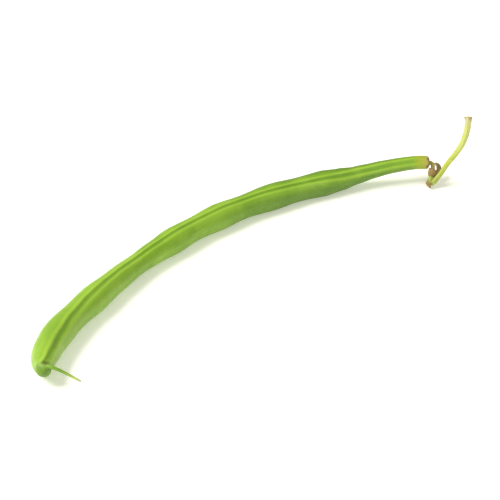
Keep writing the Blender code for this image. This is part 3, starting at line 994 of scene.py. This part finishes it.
def calyx_material():
    g, colour, rough, normal = dry_material("calyx_looks", CALYX_BASE, CALYX_DARK, CALYX_VEIN)
    rim = g.layer("rim")
    colour = g.blend(g.span(rim, 0.15, 0.0, 0.0, 0.25), colour, CALYX_CUP)
    colour = g.blend(g.span(rim, 0.35, 0.85, 0.0, 0.75), colour, TOOTH_BROWN)
    colour = g.blend(g.span(rim, 0.86, 0.98, 0.0, 0.8), colour, TOOTH_TIP)
    return g.finish(Base_Color=colour, Roughness=rough, Normal=normal,
                    Sheen_Weight=0.15, Sheen_Roughness=0.6)


SCALE_BASE = srgb(158, 124, 58)
SCALE_DARK = srgb(106, 78, 36)
SCALE_VEIN = srgb(182, 156, 88)
SCALE_LINE = srgb(176, 156, 96)
SCALE_FOOT = srgb(146, 148, 66)
SCALE_TIP = srgb(82, 58, 32)
SCALE_EDGE = srgb(190, 170, 116)
SCALE_LINES = 4.0 * math.pi


def bracteole_material():
    g, colour, rough, normal = dry_material("bracteole_looks", SCALE_BASE, SCALE_DARK,
                                            SCALE_VEIN)
    leaf = g.layer("leaf")
    across = g.layer("across")
    lines = g.math('COSINE', g.math('MULTIPLY', across, SCALE_LINES))
    colour = g.blend(g.span(lines, 0.2, 1.0, 0.0, 0.45), colour, SCALE_LINE)
    colour = g.blend(g.span(leaf, 0.3, 0.0, 0.0, 0.5), colour, SCALE_FOOT)
    colour = g.blend(g.span(leaf, 0.7, 1.0, 0.0, 0.6), colour, SCALE_TIP)
    margin = g.span(g.math('ABSOLUTE', across), 0.78, 0.98, 0.0, 0.6)
    colour = g.blend(margin, colour, SCALE_EDGE)
    return g.finish(Base_Color=colour, Roughness=rough, Normal=normal,
                    Sheen_Weight=0.15, Sheen_Roughness=0.6)


PEDICEL_FOOT = srgb(148, 158, 54)
PEDICEL_MIDDLE = srgb(178, 186, 66)
PEDICEL_HIGH = srgb(202, 206, 116)
PEDICEL_STREAK = srgb(142, 160, 54)
PEDICEL_PALE = srgb(214, 216, 140)
PEDICEL_TIP = srgb(200, 190, 140)
PEDICEL_TORN = srgb(162, 138, 96)
PEDICEL_SPECK = srgb(140, 116, 58)


def pedicel_material():
    g = Graph("pedicel_looks")
    place = g.place()
    along = g.layer("along")
    angle = g.layer("round")
    colour = g.blend(g.span(along, 1.0, 11.0), PEDICEL_FOOT, PEDICEL_MIDDLE)
    colour = g.blend(g.span(along, 10.0, 19.0), colour, PEDICEL_HIGH)
    streak_place = g.vector(g.math('MULTIPLY', along, 0.16),
                            g.math('MULTIPLY', g.math('COSINE', angle), 3.0),
                            g.math('MULTIPLY', g.math('SINE', angle), 3.0))
    streaks = g.noise(streak_place, 1.6, 4.0, 0.6)
    colour = g.blend(g.span(streaks, 0.42, 0.68, 0.0, 0.5), colour, PEDICEL_STREAK)
    mottling = g.noise(place, 900.0, 3.0, 0.6)
    colour = g.blend(g.span(mottling, 0.5, 0.75, 0.0, 0.35), colour, PEDICEL_PALE)
    wander = g.span(g.noise(place, 800.0, 3.0), 0.3, 0.7, -1.0, 1.0)
    edge = g.math('ADD', along, wander)
    colour = g.blend(g.span(edge, 21.5, 25.5, 0.0, 0.7), colour, PEDICEL_TIP)
    colour = g.blend(g.span(edge, 25.6, 27.0, 0.0, 0.75), colour, PEDICEL_TORN)
    specks = g.noise(place, 1300.0, 3.0, 0.7)
    colour = g.blend(g.span(specks, 0.66, 0.74, 0.0, 0.6), colour, PEDICEL_SPECK)
    rough = g.span(mottling, 0.3, 0.7, 0.42, 0.58)
    normal = g.bump(streaks, 0.35, 0.00012)
    normal = g.bump(g.noise(place, 3400.0, 2.0), 0.25, 0.00005, normal)
    return g.finish(Base_Color=colour, Roughness=rough, Normal=normal,
                    Subsurface_Weight=0.15, Subsurface_Radius=(0.8, 0.9, 0.3),
                    Subsurface_Scale=0.0008, Coat_Weight=0.08, Coat_Roughness=0.35,
                    Sheen_Weight=0.1, Sheen_Roughness=0.5)


# ---------------------------------------------------------------- pieces on the frame
dry = bracteole_material()
for piece, look, slot_name, node_name in (
        (pod, pod_material(), "pod_skin", "pod"),
        (calyx, calyx_material(), "calyx_skin", "calyx"),
        (upper, dry, "bracteole_skin", "bracteole_upper"),
        (lower, dry, "bracteole_skin", "bracteole_lower"),
        (pedicel, pedicel_material(), "pedicel_skin", "pedicel")):
    piece.data.materials.append(look)
    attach(piece, "root")
    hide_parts(node_name)


# ---------------------------------------------------------------- floor, camera, light
FLOOR_HALF = 1.6
FLOOR_DROP = 0.00005
PAPER_GREY = (0.9, 0.9, 0.89, 1.0)
PAPER_WHITE = (0.92, 0.92, 0.91, 1.0)
PAPER_GLOW = (1.0, 1.0, 0.86, 1.0)
PAPER_GLOW_STRENGTH = 0.26

AZIMUTH = math.radians(-42.0)
ELEVATION = math.radians(33.0)
DISTANCE = 600.0
LENS = 147.7
SENSOR = 36.0
AIM_RIGHT = 3.95
AIM_BELOW = 1.05

KEY_POWER = 12.0
KEY_SIZE = (0.6, 0.5)
KEY_COLOUR = (1.0, 0.985, 0.95)
FILL_POWER = 3.2
FILL_SIZE = (0.9, 0.6)
FILL_COLOUR = (1.0, 1.0, 0.97)
WORLD_COLOUR = (1.0, 1.0, 0.84, 1.0)
WORLD_STRENGTH = 0.4

toward = Vector((math.sin(AZIMUTH) * math.cos(ELEVATION),
                 -math.cos(AZIMUTH) * math.cos(ELEVATION), math.sin(ELEVATION)))
right = Vector((math.cos(AZIMUTH), math.sin(AZIMUTH), 0.0))
above = toward.cross(right)
level = Vector((toward.x, toward.y, 0.0)).normalized()


def paper_material():
    g = Graph("floor_paper")
    fibres = g.noise(g.place(), 60.0, 2.0)
    return g.finish(Base_Color=g.blend(g.span(fibres, 0.3, 0.7), PAPER_GREY, PAPER_WHITE),
                    Roughness=0.6, Specular_IOR_Level=0.2, Emission_Color=PAPER_GLOW,
                    Emission_Strength=PAPER_GLOW_STRENGTH)


def build_floor():
    """A plain sheet, a hair below the bean's rest plane."""
    corners = [(x * FLOOR_HALF, y * FLOOR_HALF, 0.0)
               for x, y in ((-1, -1), (1, -1), (1, 1), (-1, 1))]
    mesh = bpy.data.meshes.new("floor")
    mesh.from_pydata(corners, [], [(0, 1, 2, 3)])
    mesh.materials.append(paper_material())
    floor = bpy.data.objects.new("floor", mesh)
    floor.location.z = -FLOOR_DROP
    bpy.context.scene.collection.objects.link(floor)
    return floor


def place_camera():
    """The camera on the photo's line of sight, aimed a little off the design's origin."""
    aim = shift + right * AIM_RIGHT - above * AIM_BELOW
    eye = shift + toward * DISTANCE
    lens = bpy.data.cameras.new("camera")
    lens.lens = LENS
    lens.sensor_width = SENSOR
    lens.clip_start = 0.01
    camera = bpy.data.objects.new("camera", lens)
    bpy.context.scene.collection.objects.link(camera)
    camera.location = eye * MM
    camera.rotation_euler = (eye - aim).to_track_quat('Z', 'Y').to_euler()
    bpy.context.scene.camera = camera


def softbox(name, offset, size, power, colour):
    """A rectangular lamp at an offset in metres from the bean, facing it."""
    lamp = bpy.data.lights.new(name, 'AREA')
    lamp.shape = 'RECTANGLE'
    lamp.size, lamp.size_y = size
    lamp.energy = power
    lamp.color = colour
    made = bpy.data.objects.new(name, lamp)
    bpy.context.scene.collection.objects.link(made)
    made.location = offset
    made.rotation_euler = offset.to_track_quat('Z', 'Y').to_euler()


def light_studio():
    """A warm key from the left, a weak fill from the right front, and a pale surround."""
    softbox("key", -right * 0.66 + level * 0.06 + UP * 0.74, KEY_SIZE, KEY_POWER, KEY_COLOUR)
    softbox("fill", right * 0.5 + level * 0.8 + UP * 0.6, FILL_SIZE, FILL_POWER, FILL_COLOUR)
    world = bpy.data.worlds.new("studio")
    bpy.context.scene.world = world
    world.use_nodes = True
    background = world.node_tree.nodes["Background"]
    background.inputs["Color"].default_value = WORLD_COLOUR
    background.inputs["Strength"].default_value = WORLD_STRENGTH
    bpy.context.scene.view_settings.view_transform = 'Standard'


floor = build_floor()
place_camera()
light_studio()
